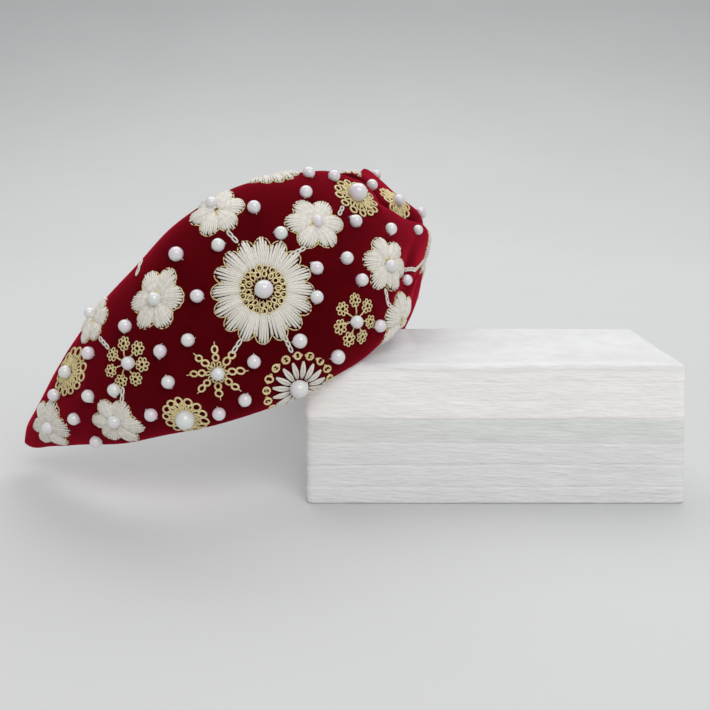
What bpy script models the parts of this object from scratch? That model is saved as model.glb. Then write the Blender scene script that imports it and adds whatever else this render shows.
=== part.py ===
"""Padded velvet headband, embroidered and sewn with pearls, leaning on a block of white foam.

The band is one open U. Its two halves run from a tip each to the knot at the crown, and meet there along
an S-shaped crease. Lengths are in millimetres until a mesh is made, and +Z is up. The origin is the centre
of the block's base. Every point of the band is named by two numbers: the angle round the U, 0 degrees at
the crown and positive on the near side, and the height across the band, from -1 at the lower edge to 1 at
the upper edge.
"""
import bmesh
import bpy
import numpy as np

MM = 0.001

# Foam block, laid on its long side, with soft hand-cut edges
BLOCK_LENGTH = 110.0
BLOCK_DEPTH = 45.0
BLOCK_HEIGHT = 43.0
BLOCK_EDGE = 2.6
BASE_EDGE_SHARE = 0.3

# The right end is cut askew: x of its corners
END_FRONT_LOW = 56.5
END_FRONT_HIGH = 53.0
END_BACK_LOW = 53.7
END_BACK_HIGH = 50.2

# The U of the band, as the half width and the depth of its inner curve
HALF_WIDTH = 62.0
REACH_TO_CROWN = 73.5
REACH_TO_TIPS = 87.5
TIP_ANGLE = 116.0
TIP_ROUNDING = 5.0
HUB = np.array([-88.2, 37.2, 31.8])
TILT = np.radians(30.3)
YAW = np.radians(30.6)

# Padding: full in the middle of the widest part, thin at the tips, on a bowed back
FULL_PAD = 8.5
TIP_PAD = 2.6
WIDEST_HALF = 29.5
PAD_SQUARENESS = 2.6
PAD_SHOULDER = 0.55
BOW = 3.5

# Knot: the lower side curls in under the crown between two pairs of angles, the pad sinks beside the
# crease, and one shallow pleat runs down to the lower edge
CURL = 9.0
CURL_GROWS = (-18.0, 12.0)
CURL_FADES = (-80.0, -45.0)
HALVES_GAP = 1.3
CREASE_DEPTH = 0.42
CREASE_WIDTH = 5.5
PLEAT_DEPTH = 1.1
PLEAT_WIDTH = 3.5
PLEAT_ANGLE = 4.0
PLEAT_ACROSS = -0.55
PLEAT_SLOPE = -26.0

# Embroidery and pearls
STITCH_LIFT = 0.4
STITCH_THICK = 0.9
SEAT_GAP = 0.3
EDGE_LIMIT = 0.95
PETAL_NOTCH = 0.20
STAR_NOTCH = 0.58
ROUND_NOTCH = 0.07
FINE = 3.6
SMALL = 4.0
WIDER = 4.6
WIDE = 5.6
BIG = 6.0

# Where the picture was taken from, for placing the embroidery by the pixels of a 710 pixel wide frame
EYE = np.array([-40.7, -267.3, 110.7])
EYE_PITCH = np.radians(14.93)
FOCAL_PIXELS = 900.0
FRAME_MIDDLE = 355.0

# Mesh density
STATIONS = 42
ACROSS = 12
TIP_CROWDING = 0.55
PEARL_SIDES = 10
PEARL_RINGS = 5

# Half sections: angle from the crown in degrees, upper edge and lower edge in millimetres
EDGE_ROWS = np.array([
    (0, 28.0, -21.5),
    (12, 29.4, -23.5),
    (24, 31.2, -25.8),
    (38, 31.7, -27.3),
    (50, 29.2, -26.8),
    (62, 24.0, -24.4),
    (74, 18.8, -20.9),
    (86, 13.3, -16.9),
    (98, 7.0, -11.3),
    (108, 2.7, -7.4),
    (116, 0.0, -5.6),
])

# The far half's lower edge is gathered into the knot: angle, lower edge
GATHER_ROWS = np.array([
    (0, -21.5),
    (12, -19.0),
    (24, -17.5),
    (38, -19.0),
    (50, -22.6),
    (62, -24.4),
    (74, -20.9),
])

# The crease where the halves meet: height across the band, angle
CREASE_ROWS = np.array([
    (-1.0, -31.0),
    (-0.5, -29.0),
    (-0.05, -24.0),
    (0.1, -16.5),
    (0.24, -11.5),
    (0.4, -6.0),
    (0.6, -7.5),
    (0.8, -7.0),
    (1.0, 2.0),
])

# Embroidered pieces: name, outline, petals, diameter, frame column and row of the centre
EMBROIDERY = (
    ("big_daisy", "petals", 16, 29.0, 263, 290),
    ("top_daisy", "petals", 16, 15.0, 275, 182),
    ("under_daisy", "petals", 16, 12.0, 402, 317),
    ("half_daisy", "petals", 12, 22.0, 299, 384),
    ("flower_1", "petals", 6, 14.0, 51, 424),
    ("flower_2", "petals", 6, 18.3, 117, 421),
    ("flower_3", "petals", 6, 18.3, 155, 300),
    ("flower_4", "petals", 6, 15.0, 97, 320),
    ("flower_5", "petals", 6, 18.0, 215, 211),
    ("flower_6", "petals", 6, 18.3, 316, 225),
    ("flower_7", "petals", 6, 18.3, 384, 262),
    ("rosette_1", "round", 13, 15.0, 70, 373),
    ("rosette_2", "round", 13, 14.5, 184, 411),
    ("rosette_3", "round", 13, 14.5, 357, 196),
    ("cluster_1", "round", 7, 15.3, 127, 363),
    ("cluster_2", "round", 7, 15.3, 355, 320),
    ("snowflake", "star", 8, 17.0, 217, 370),
)

# Pearls sewn on the velvet: frame column, row, diameter
VELVET_PEARLS = (
    (176, 254, WIDER), (218, 245, SMALL), (197, 296, SMALL), (125, 326, SMALL), (88, 353, SMALL),
    (160, 351, SMALL), (188, 340, SMALL), (168, 382, SMALL), (88, 396, SMALL), (74, 419, SMALL),
    (151, 415, SMALL), (219, 414, SMALL), (254, 207, SMALL), (306, 192, SMALL), (281, 233, SMALL),
    (317, 268, SMALL), (317, 297, SMALL), (347, 258, SMALL), (362, 280, SMALL), (356, 221, SMALL),
    (391, 226, SMALL), (254, 362, SMALL), (245, 400, SMALL), (300, 341, WIDER), (338, 357, WIDER),
    (380, 326, SMALL), (407, 280, FINE),
)

# Pearls sewn in the middle of an embroidered piece: that piece, diameter
CENTRE_PEARLS = (
    ("big_daisy", BIG), ("flower_2", SMALL), ("flower_3", SMALL), ("flower_6", SMALL), ("flower_7", SMALL),
    ("rosette_1", SMALL), ("rosette_2", BIG), ("rosette_3", BIG), ("cluster_1", SMALL), ("cluster_2", SMALL),
    ("snowflake", SMALL), ("half_daisy", WIDE),
)

TOWARDS_CROWN = np.array([np.cos(TILT) * np.cos(YAW), -np.cos(TILT) * np.sin(YAW), np.sin(TILT)])
TOWARDS_NEAR = np.array([-np.sin(YAW), -np.cos(YAW), 0.0])
TOWARDS_UPPER = np.array([-np.sin(TILT) * np.cos(YAW), np.sin(TILT) * np.sin(YAW), np.cos(TILT)])


def between(rows, column, x):
    """Read a column of a table at x, with a smooth curve through its rows."""
    stops = rows[:, 0]
    values = rows[:, column]
    slopes = np.gradient(values, stops)
    x = np.clip(x, stops[0], stops[-1])
    i = np.clip(np.searchsorted(stops, x) - 1, 0, len(stops) - 2)
    width = stops[i + 1] - stops[i]
    t = (x - stops[i]) / width
    start = (2 * t**3 - 3 * t**2 + 1) * values[i] + (t**3 - 2 * t**2 + t) * width * slopes[i]
    end = (3 * t**2 - 2 * t**3) * values[i + 1] + (t**3 - t**2) * width * slopes[i + 1]
    return start + end


def ramp(x, low, high):
    """0 below low, 1 above high, and a smooth step between."""
    t = np.clip((x - low) / (high - low), 0, 1)
    return t * t * (3 - 2 * t)


def half_section(angle):
    """Middle and half of the band's width at an angle, rounded off at the tip."""
    away = np.abs(angle)
    upper = between(EDGE_ROWS, 1, away)
    lower = between(EDGE_ROWS, 2, away)
    gathered = (angle < 0) & (away < GATHER_ROWS[-1, 0])
    lower = np.where(gathered, between(GATHER_ROWS, 1, away), lower)
    into_tip = np.clip((away - TIP_ANGLE + TIP_ROUNDING) / TIP_ROUNDING, 0, 1)
    return (upper + lower) / 2, (upper - lower) / 2 * np.sqrt(1 - into_tip**2)


def knot_relief(angle, across):
    """What the pad keeps of its height beside the crease, and a shallow pleat below the knot."""
    beside = (angle - between(CREASE_ROWS, 1, across)) / CREASE_WIDTH
    from_pleat = (angle - PLEAT_ANGLE - PLEAT_SLOPE * (across - PLEAT_ACROSS)) / PLEAT_WIDTH
    on_lower_side = ramp(across, -1.0, -0.75) * ramp(-across, 0.1, 0.4)
    return 1 - CREASE_DEPTH * np.exp(-beside**2), PLEAT_DEPTH * np.exp(-from_pleat**2) * on_lower_side


def heights(angle, across):
    """Inner and outer height of the pad above the U. The pad is a flattened oval that follows a bowed
    back, and near the knot its lower side curls in under the crown."""
    half = half_section(angle)[1]
    share = np.clip(half / WIDEST_HALF, 0, 1)
    under = (1 - ramp(angle, *CURL_GROWS)) * ramp(angle, *CURL_FADES)
    inner = BOW * share**2 * (1 - across**2) - CURL * under * np.clip(-across, 0, 1) ** 2
    oval = np.clip(1 - np.abs(across) ** PAD_SQUARENESS, 0, 1) ** PAD_SHOULDER
    pad = (TIP_PAD + (FULL_PAD - TIP_PAD) * share) * oval
    kept, pleat = knot_relief(angle, across)
    return inner, inner + pad * kept - pleat


def band_point(angle, across, height):
    """Points of the band in space, from angle, height across the band and height above the U."""
    middle, half = half_section(angle)
    turn = np.radians(angle)
    reach = np.where(np.cos(turn) > 0, REACH_TO_CROWN, REACH_TO_TIPS)
    side = np.sin(turn) / HALF_WIDTH
    front = np.cos(turn) / reach
    length = np.hypot(side, front)
    along_crown = reach * np.cos(turn) + height * front / length
    along_near = HALF_WIDTH * np.sin(turn) + height * side / length
    along_upper = middle + across * half
    return (HUB + along_crown[..., None] * TOWARDS_CROWN + along_near[..., None] * TOWARDS_NEAR
            + along_upper[..., None] * TOWARDS_UPPER)


def outer_point(angle, across, lift=0.0):
    """Points on the velvet's outer face, or a lift above it along the U's own normal."""
    return band_point(angle, across, heights(angle, across)[1] + lift)


def to_frame(points):
    """Frame column and row of points in space, for the eye above."""
    away = points - EYE
    depth = away[..., 1] * np.cos(EYE_PITCH) - away[..., 2] * np.sin(EYE_PITCH)
    up = away[..., 1] * np.sin(EYE_PITCH) + away[..., 2] * np.cos(EYE_PITCH)
    return np.stack([FRAME_MIDDLE + FOCAL_PIXELS * away[..., 0] / depth,
                     FRAME_MIDDLE - FOCAL_PIXELS * up / depth], -1)


def frame_at(angle, across):
    """Place, unit normal and the two stretches (mm per degree, mm per unit) of the velvet at a point."""
    angle = np.asarray(angle, float)
    across = np.asarray(across, float)
    step = 0.02
    place = outer_point(angle, across)
    along = (outer_point(angle + step, across) - outer_point(angle - step, across)) / (2 * step)
    up = (outer_point(angle, across + step) - outer_point(angle, across - step)) / (2 * step)
    normal = np.cross(up, along)
    normal = normal / np.linalg.norm(normal, axis=-1, keepdims=True)
    return place, normal, np.linalg.norm(along, axis=-1), np.linalg.norm(up, axis=-1)


def seen_at(column, row, lift=0.0):
    """Angle and height across the band of the place whose point, a lift above the velvet, shows at a frame
    column and row: the nearest of a grid of points that face the eye, then a few Newton steps."""
    angles, acrosses = np.meshgrid(np.linspace(-34, 114, 150), np.linspace(-0.97, 0.97, 80), indexing="ij")
    place, normal = frame_at(angles, acrosses)[:2]
    facing = np.sum(normal * (EYE - place), axis=-1) > 0
    miss = np.linalg.norm(to_frame(place) - (column, row), axis=-1)
    best = np.unravel_index(np.where(facing, miss, np.inf).argmin(), miss.shape)
    spot = np.array([angles[best], acrosses[best]])
    step = np.array([0.05, 0.001])
    for _ in range(4):
        here = to_frame(outer_point(spot[0], spot[1], lift))
        by_angle = (to_frame(outer_point(spot[0] + step[0], spot[1], lift)) - here) / step[0]
        by_across = (to_frame(outer_point(spot[0], spot[1] + step[1], lift)) - here) / step[1]
        turn = np.stack([by_angle, by_across], axis=1)
        if abs(np.linalg.det(turn)) > 1.0:
            move = np.linalg.solve(turn, np.array([column, row]) - here)
            spot = spot + np.clip(move, (-2.0, -0.04), (2.0, 0.04))
    return spot[0], np.clip(spot[1], -EDGE_LIMIT, EDGE_LIMIT)


def material(name, colour, roughness):
    """A Principled BSDF of one colour."""
    made = bpy.data.materials.new(name)
    made.use_nodes = True
    shader = made.node_tree.nodes["Principled BSDF"]
    shader.inputs["Base Color"].default_value = (*colour, 1.0)
    shader.inputs["Roughness"].default_value = roughness
    shader.inputs["Metallic"].default_value = 0.0
    return made


def add_mesh(name, points, faces, finish):
    """One closed, outward facing, smooth shaded object from points in millimetres."""
    mesh = bpy.data.meshes.new(name)
    mesh.from_pydata([tuple(p) for p in np.asarray(points) * MM], [], faces)
    work = bmesh.new()
    work.from_mesh(mesh)
    bmesh.ops.recalc_face_normals(work, faces=work.faces)
    work.to_mesh(mesh)
    work.free()
    mesh.shade_smooth()
    mesh.materials.append(finish)
    made = bpy.data.objects.new(name, mesh)
    bpy.context.collection.objects.link(made)
    return made


def grid_faces(rows, columns):
    """Quads between neighbouring rows of points, where each row is a closed ring."""
    faces = []
    for r in range(rows - 1):
        for c in range(columns):
            d = (c + 1) % columns
            faces.append((r * columns + c, r * columns + d, (r + 1) * columns + d, (r + 1) * columns + c))
    return faces


def velvet_half(name, side, finish):
    """One half of the band: closed rings from near its tip to the crease, a point at the tip and a strip
    of faces across the pad's thickness at the crease. side is 1 for the near half and -1 for the far."""
    across_outer = np.sin(np.linspace(-np.pi / 2, np.pi / 2, ACROSS))
    across = np.concatenate([across_outer, across_outer[-2:0:-1]])
    on_outer = np.concatenate([np.ones(ACROSS, bool), np.zeros(ACROSS - 2, bool)])
    steps = np.linspace(0, 1, STATIONS + 1)[1:, None]
    steps = (1 - TIP_CROWDING) * steps + TIP_CROWDING * steps**2
    tip = side * TIP_ANGLE
    end = between(CREASE_ROWS, 1, across) + side * HALVES_GAP / 2
    angle = tip + (end[None, :] - tip) * steps
    across = np.broadcast_to(across, angle.shape)
    inner, outer = heights(angle, across)
    rings = band_point(angle, across, np.where(on_outer, outer, inner))
    point = band_point(np.array(tip), np.array(0.0), np.array(TIP_PAD / 2))
    ring = rings.shape[1]
    faces = grid_faces(len(rings), ring)
    apex = len(rings) * ring
    faces += [(apex, c, (c + 1) % ring) for c in range(ring)]
    last = (len(rings) - 1) * ring
    partner = {i: ring - i for i in range(1, ACROSS - 1)}
    faces.append((last, last + 1, last + partner[1]))
    for i in range(1, ACROSS - 2):
        faces.append((last + i, last + i + 1, last + partner[i + 1], last + partner[i]))
    faces.append((last + ACROSS - 2, last + ACROSS - 1, last + partner[ACROSS - 2]))
    return add_mesh(name, np.vstack([rings.reshape(-1, 3), point]), faces, finish)


def outline_radius(kind, petals, turn):
    """Radius of an embroidered outline round its centre, as a share of its full radius."""
    wave = np.abs(np.cos(petals * turn / 2))
    if kind == "petals":
        return 1 - PETAL_NOTCH * (1 - wave**0.7)
    if kind == "star":
        return 1 - STAR_NOTCH * (1 - wave**3)
    return 1 - ROUND_NOTCH * (1 - wave)


def stitched_plate(name, kind, petals, diameter, column, row, finish):
    """A low embroidered relief that follows the velvet: two rings of points round a centre above and two
    below, with its outline cut back where it would pass the edge of the band."""
    angle, across = seen_at(column, row)
    mm_per_degree, mm_per_unit = frame_at(angle, across)[2:]
    spokes = 4 * petals if petals < 10 else 2 * petals
    turn = np.arange(spokes) * 2 * np.pi / spokes
    radius = diameter / 2 * outline_radius(kind, petals, turn)
    rise = np.sin(turn) / mm_per_unit
    room = np.where(rise > 0, EDGE_LIMIT - across, EDGE_LIMIT + across) / np.maximum(np.abs(rise), 1e-6)
    radius = np.minimum(radius, np.maximum(room, 0.5))
    shares = np.array([0.5, 1.0])[:, None]
    x = shares * radius * np.cos(turn)
    y = shares * radius * np.sin(turn)
    top_lift = STITCH_LIFT + STITCH_THICK * np.array([1.0, 0.6])[:, None] * np.ones_like(x)
    ring_angles = angle + x / mm_per_degree
    ring_across = across + y / mm_per_unit
    top = outer_point(ring_angles, ring_across, top_lift)
    under = outer_point(ring_angles[::-1], ring_across[::-1], STITCH_LIFT)
    centre = outer_point(np.array([angle]), np.array([across]), STITCH_LIFT + STITCH_THICK)
    centre_under = outer_point(np.array([angle]), np.array([across]), STITCH_LIFT)
    rings = np.vstack([top, under])
    faces = grid_faces(len(rings), spokes)
    count = len(rings) * spokes
    faces += [(count, c, (c + 1) % spokes) for c in range(spokes)]
    base = (len(rings) - 1) * spokes
    faces += [(count + 1, base + (c + 1) % spokes, base + c) for c in range(spokes)]
    add_mesh(name, np.vstack([rings.reshape(-1, 3), centre, centre_under]), faces, finish)
    return angle, across


def pearl(name, angle, across, diameter, seat, finish):
    """A pearl whose lowest point is a seat height above the velvet."""
    place, normal = frame_at(angle, across)[:2]
    centre = place + normal * (seat + diameter / 2)
    mesh = bpy.data.meshes.new(name)
    work = bmesh.new()
    bmesh.ops.create_uvsphere(work, u_segments=PEARL_SIDES, v_segments=PEARL_RINGS, radius=diameter / 2 * MM)
    work.to_mesh(mesh)
    work.free()
    mesh.shade_smooth()
    mesh.materials.append(finish)
    made = bpy.data.objects.new(name, mesh)
    made.location = centre * MM
    bpy.context.collection.objects.link(made)


def foam_block(finish):
    """The laminated foam: a cube scaled in its mesh, its right end moved to its own corners, and a bevel
    that is soft on the upper edges and small round the base."""
    mesh = bpy.data.meshes.new("foam_block")
    work = bmesh.new()
    bmesh.ops.create_cube(work, size=1.0)
    bmesh.ops.scale(work, vec=np.array([BLOCK_LENGTH, BLOCK_DEPTH, BLOCK_HEIGHT]) * MM, verts=work.verts)
    bmesh.ops.translate(work, vec=(0, 0, BLOCK_HEIGHT / 2 * MM), verts=work.verts)
    middle = BLOCK_HEIGHT / 2 * MM
    for corner in work.verts:
        if corner.co.x > 0:
            low, high = (END_FRONT_LOW, END_FRONT_HIGH) if corner.co.y < 0 else (END_BACK_LOW, END_BACK_HIGH)
            corner.co.x = (high if corner.co.z > middle else low) * MM
    weights = work.edges.layers.float.new("bevel_weight_edge")
    for edge in work.edges:
        on_base = all(corner.co.z < middle for corner in edge.verts)
        edge[weights] = BASE_EDGE_SHARE if on_base else 1.0
    work.to_mesh(mesh)
    work.free()
    mesh.materials.append(finish)
    made = bpy.data.objects.new("foam_block", mesh)
    bpy.context.collection.objects.link(made)
    bevel = made.modifiers.new("soft_edges", "BEVEL")
    bevel.width = BLOCK_EDGE * MM
    bevel.segments = 2
    bevel.limit_method = "WEIGHT"


def build():
    """Clear the scene and make every piece."""
    for old in list(bpy.data.objects):
        bpy.data.objects.remove(old)
    foam = material("foam", (0.86, 0.86, 0.85), 0.9)
    velvet = material("velvet", (0.20, 0.005, 0.015), 0.85)
    ivory = material("ivory_thread", (0.74, 0.69, 0.58), 0.6)
    gold = material("gold_thread", (0.60, 0.48, 0.20), 0.4)
    nacre = material("pearl", (0.85, 0.82, 0.84), 0.25)
    foam_block(foam)
    velvet_half("near_half", 1, velvet)
    velvet_half("far_half", -1, velvet)
    spots = {}
    for name, kind, petals, diameter, column, row in EMBROIDERY:
        finish = ivory if kind == "petals" else gold
        spots[name] = stitched_plate(name, kind, petals, diameter, column, row, finish)
    number = 0
    for column, row, diameter in VELVET_PEARLS:
        number += 1
        angle, across = seen_at(column, row, SEAT_GAP + diameter / 2)
        pearl(f"pearl_{number:02d}", angle, across, diameter, SEAT_GAP, nacre)
    on_stitches = STITCH_LIFT + STITCH_THICK + SEAT_GAP
    for owner, diameter in CENTRE_PEARLS:
        number += 1
        angle, across = spots[owner]
        pearl(f"pearl_{number:02d}", angle, across, diameter, on_stitches, nacre)


build()
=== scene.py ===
"""Looks of the embroidered velvet headband that leans on its block of white foam.

Lengths are in millimetres until a mesh is made. The band is one map from two angles to a place in space:
degrees round its U, 0 at the crown and positive on the near side, and degrees round the padded section, 0
in the middle of the outer face and 90 at the upper edge. Everything sewn on it is worked out flat, in
millimetres round its own centre, and then laid on that map.
"""

import bpy
import numpy as np
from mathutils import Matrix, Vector


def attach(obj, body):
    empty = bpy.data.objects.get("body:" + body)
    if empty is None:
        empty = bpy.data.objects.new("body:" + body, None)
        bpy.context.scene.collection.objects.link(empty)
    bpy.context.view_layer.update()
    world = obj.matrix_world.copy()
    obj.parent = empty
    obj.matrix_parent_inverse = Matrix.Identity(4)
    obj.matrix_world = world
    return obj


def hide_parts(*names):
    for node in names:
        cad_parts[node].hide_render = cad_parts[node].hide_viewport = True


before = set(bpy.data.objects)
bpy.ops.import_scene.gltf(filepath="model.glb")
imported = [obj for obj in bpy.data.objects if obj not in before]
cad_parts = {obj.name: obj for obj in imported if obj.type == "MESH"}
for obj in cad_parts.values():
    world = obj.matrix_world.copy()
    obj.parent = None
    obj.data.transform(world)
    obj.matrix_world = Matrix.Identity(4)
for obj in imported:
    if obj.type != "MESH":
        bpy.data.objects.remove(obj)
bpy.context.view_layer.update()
MM = 0.001

# Foam block, laid on its long side, with soft hand-cut edges
BLOCK_LENGTH = 110.0
BLOCK_DEPTH = 45.0
BLOCK_HEIGHT = 43.0
TOP_EDGE = 1.7
BASE_EDGE = 0.7

# The right end is cut askew: x of its corners
END_FRONT_LOW = 56.5
END_FRONT_HIGH = 53.0
END_BACK_LOW = 53.7
END_BACK_HIGH = 50.2

# The U of the band, as the half width and the depth of its inner curve
HALF_WIDTH = 62.0
REACH_TO_CROWN = 73.5
REACH_TO_TIPS = 87.5
TIP_ANGLE = 116.0
TIP_ROUNDING = 6.5
HUB = np.array([-88.2, 37.2, 31.8])
TILT = np.radians(30.3)
YAW = np.radians(30.6)

# Padding: full in the middle of the widest part, thin at the tips, on a bowed back
FULL_PAD = 8.5
TIP_PAD = 2.6
WIDEST_HALF = 29.5
PAD_SQUARENESS = 2.6
PAD_SHOULDER = 0.55
BOW = 3.5

# Knot: the lower side curls in under the crown, the pad sinks beside the crease, and a pleat runs down
CURL = 9.0
CURL_GROWS = (-18.0, 12.0)
CURL_FADES = (-80.0, -45.0)
CREASE_DEPTH = 0.42
CREASE_WIDTH = 5.5
PLEAT_DEPTH = 1.1
PLEAT_WIDTH = 3.5
PLEAT_ANGLE = 4.0
PLEAT_ACROSS = -0.55
PLEAT_SLOPE = -26.0

# Where the wadding under the knot is flatter or fuller: angle, degrees round the section, how far each
# way, rise
KNOT_WADDING = (
    (-18.0, 60.0, 13.0, 40.0, -4.6),
    (-22.8, -4.0, 8.8, 21.0, 3.0),
    (-18.0, -48.0, 14.0, 26.0, -2.8),
)

# The far half's upper edge dips beside the crown: angle, how far each way, depth
BROW_DIP = (-11.0, 9.0, 1.5)

# Half sections: angle from the crown in degrees, upper edge and lower edge in millimetres
EDGE_ROWS = np.array([
    (0, 27.8, -20.0),
    (12, 29.4, -22.6),
    (24, 31.2, -25.8),
    (38, 31.7, -27.3),
    (50, 29.2, -26.8),
    (62, 24.0, -24.4),
    (74, 18.8, -20.9),
    (86, 13.3, -16.9),
    (98, 7.0, -11.3),
    (108, 2.7, -7.4),
    (116, 0.0, -5.6),
])

# The far half's lower edge is gathered into the knot: angle, lower edge
GATHER_ROWS = np.array([
    (0, -20.0),
    (12, -18.6),
    (24, -17.5),
    (38, -19.0),
    (50, -22.6),
    (62, -24.4),
    (74, -20.9),
])

# The crease where the halves meet: height across the band, angle
CREASE_ROWS = np.array([
    (-1.0, -31.0),
    (-0.5, -29.0),
    (-0.05, -24.0),
    (0.1, -16.5),
    (0.24, -11.5),
    (0.4, -6.0),
    (0.6, -7.5),
    (0.8, -7.0),
    (1.0, 2.0),
])

# Where the picture was taken from, for a frame that is 710 pixels wide
EYE = np.array([-40.7, -267.3, 110.7])
EYE_PITCH = np.radians(14.93)
FOCAL_PIXELS = 900.0
FRAME_WIDTH = 710.0
SENSOR = 36.0

TOWARDS_CROWN = np.array([np.cos(TILT) * np.cos(YAW), -np.cos(TILT) * np.sin(YAW), np.sin(TILT)])
TOWARDS_NEAR = np.array([-np.sin(YAW), -np.cos(YAW), 0.0])
TOWARDS_UPPER = np.array([-np.sin(TILT) * np.cos(YAW), np.sin(TILT) * np.sin(YAW), np.cos(TILT)])

# The visual velvet: a rounded edge, and pile that stands up wherever nothing is sewn on
EDGE_ROUND = 1.1
PILE = 0.5
ROLL_DEGREES = 3.0
ROLL_DEPTH = 3.4
CREASE_GAP = 0.04
ROWS_ALONG = 330
FAR_ROWS_ALONG = 290
HALF_RING = 130
LUMP_HEIGHT = 0.132
FOLD_POINTS = 26

# Degrees either way of a place, for slopes on the band and for the normal of its section
SLOPE_STEP = 0.05
SECTION_STEP = 0.6

# Where on the band a place of the frame is looked for
SEARCH_ANGLES = np.linspace(-34, 114, 230)
SEARCH_AROUND = np.linspace(-100, 100, 150)

# A far piece or pearl is made where the cosine between its normal and the way to the eye is below this
PIECE_HIDDEN = -0.13
PEARL_HIDDEN = -0.33

# Far pieces: how far their first petal is turned on, in radians, and the degrees that they keep off the
# crease, at so many millimetres of the U to a degree
FAR_TURN = 2.0
CREASE_ROOM = 2.0
MM_PER_DEGREE = 1.2
SEED = 7

# Threads and cords, as radii
IVORY_THREAD = 0.40
DAISY_THREAD = 0.38
SPINDLE_THREAD = 0.36
CHAIN_THREAD = 0.24
TIE_THREAD = 0.11
CORD = 0.19

# Numbers of petals, flowers and threads, and sizes of stitches
FLOWER_PETALS = 6
DAISY_PETALS = 16
SPINDLE_PETALS = 16
TINY_FLOWERS = 7
DAISY_STRANDS = 6
FAN_THREADS = 13
FAN_DEGREES = 100.0
THREAD_SIDES = 6
THREAD_NUB = 0.7
STITCH_FOOT = 0.30
STITCH_RISE = 0.95
CHAIN_LINK = 1.7
TUFT_AWAY = 1.5

# Circles of gold rings in each piece: radius as a share of the piece's own, number of rings, their length
# and width from the middle, thread, turn on from the first petal, height, unevenness
GOLD_RINGS = {
    "daisy": ((0.93, 19, 0.82, 0.74, 0.23, 0.0, 0.85, 0.12), (0.66, 14, 0.78, 0.66, 0.22, 0.1, 0.90, 0.12)),
    "spindles": ((0.95, 17, 0.95, 0.95, 0.30, 0.18, 0.45, 0.05),
                 (0.95, 34, 0.28, 0.45, 0.18, 0.09, 0.35, 0.12)),
    "rosette": ((1.0, 13, 1.02, 1.08, 0.30, 0.0, 0.50, 0.06), (0.66, 13, 1.35, 0.52, 0.24, 0.24, 0.70, 0.12),
                (0.52, 14, 1.10, 0.42, 0.22, 0.0, 0.85, 0.12), (0.36, 9, 0.62, 0.55, 0.22, 0.0, 0.75, 0.12)),
    "snowflake": ((0.48, 8, 0.98, 0.80, 0.29, 0.0, 0.45, 0.05), (0.74, 8, 0.98, 0.80, 0.29, 0.0, 0.45, 0.05),
                  (0.27, 10, 0.70, 0.45, 0.22, 0.0, 0.55, 0.12)),
}

# Its spokes: where they start and end as such shares, number, thread, turn on, height at the start and end
GOLD_SPOKES = {
    "daisy": ((0.45, 0.95, 19, 0.17, 0.0, 0.5, 0.5),),
    "rosette": ((0.40, 0.80, 26, 0.16, 0.1, 0.8, 0.5),),
    "snowflake": ((0.85, 1.03, 8, 0.17, 0.0, 0.35, 0.1),),
}

# How deep a sewn piece presses the pile, and how far out as a share of its radius
PRESS = {"flower": (0.45, 0.86), "daisy": (0.45, 0.95), "rosette": (0.35, 1.0)}
LIGHT_PRESS = (0.25, 1.0)
PEARL_PRESS = (PILE + 0.2, 0.36)

# Pearls: their mesh, how far they stand off the velvet, and their diameters
PEARL_SIDES = 22
PEARL_RINGS = 13
PEARL_SEAT = -0.6
CENTRE_SEAT = 0.0
FINE = 3.2
SMALL = 3.65
WIDER = 4.0
WIDE = 5.0
BIG = 5.3

# Embroidered pieces: name, maker, size round the U and up the section, frame column and row of the centre,
# column and row of a tip
EMBROIDERY = (
    ("big_daisy", "daisy", 27.6, 27.9, 263, 290, 263, 342),
    ("top_daisy", "daisy", 20.0, 20.0, 275, 178, 277, 188),
    ("under_daisy", "flower", 20.0, 16.6, 399, 320, 384, 338),
    ("half_daisy", "spindles", 19.4, 20.0, 299, 387, 303, 360),
    ("flower_1", "flower", 21.0, 14.4, 50, 425, 74, 430),
    ("flower_2", "flower", 16.4, 14.8, 117, 422, 91, 419),
    ("flower_3", "flower", 17.2, 15.8, 157, 300, 186, 298),
    ("flower_4", "flower", 14.0, 11.4, 95, 321, 98, 338),
    ("flower_5", "flower", 15.8, 15.8, 217, 212, 243, 206),
    ("flower_6", "flower", 17.6, 15.8, 315, 224, 343, 225),
    ("flower_7", "flower", 20.2, 15.8, 386, 264, 362, 260),
    ("rosette_1", "rosette", 17.8, 11.0, 71, 373, 86, 378),
    ("rosette_2", "rosette", 12.4, 12.6, 185, 416, 178, 397),
    ("rosette_3", "rosette", 16.2, 14.0, 357, 198, 352, 213),
    ("cluster_1", "cluster", 15.3, 13.6, 127, 363, 125, 345),
    ("cluster_2", "cluster", 15.0, 14.6, 355, 320, 354, 299),
    ("snowflake", "snowflake", 16.9, 16.2, 217, 372, 247, 370),
    ("knot_rosette", "rosette", 13.6, 13.6, 396.5, 202, 407, 217),
    ("edge_flower", "flower", 16.0, 16.0, 425, 250, 418, 256),
    ("brow_flower", "flower", 14.0, 14.0, 353, 171, 354, 176),
)

# Pieces whose middle is past what the picture shows: how far on, round the U and up the section
PAST_EDGE = {"top_daisy": (0.0, 5.5), "edge_flower": (-6.0, 0.0), "brow_flower": (0.0, 5.0)}

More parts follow.
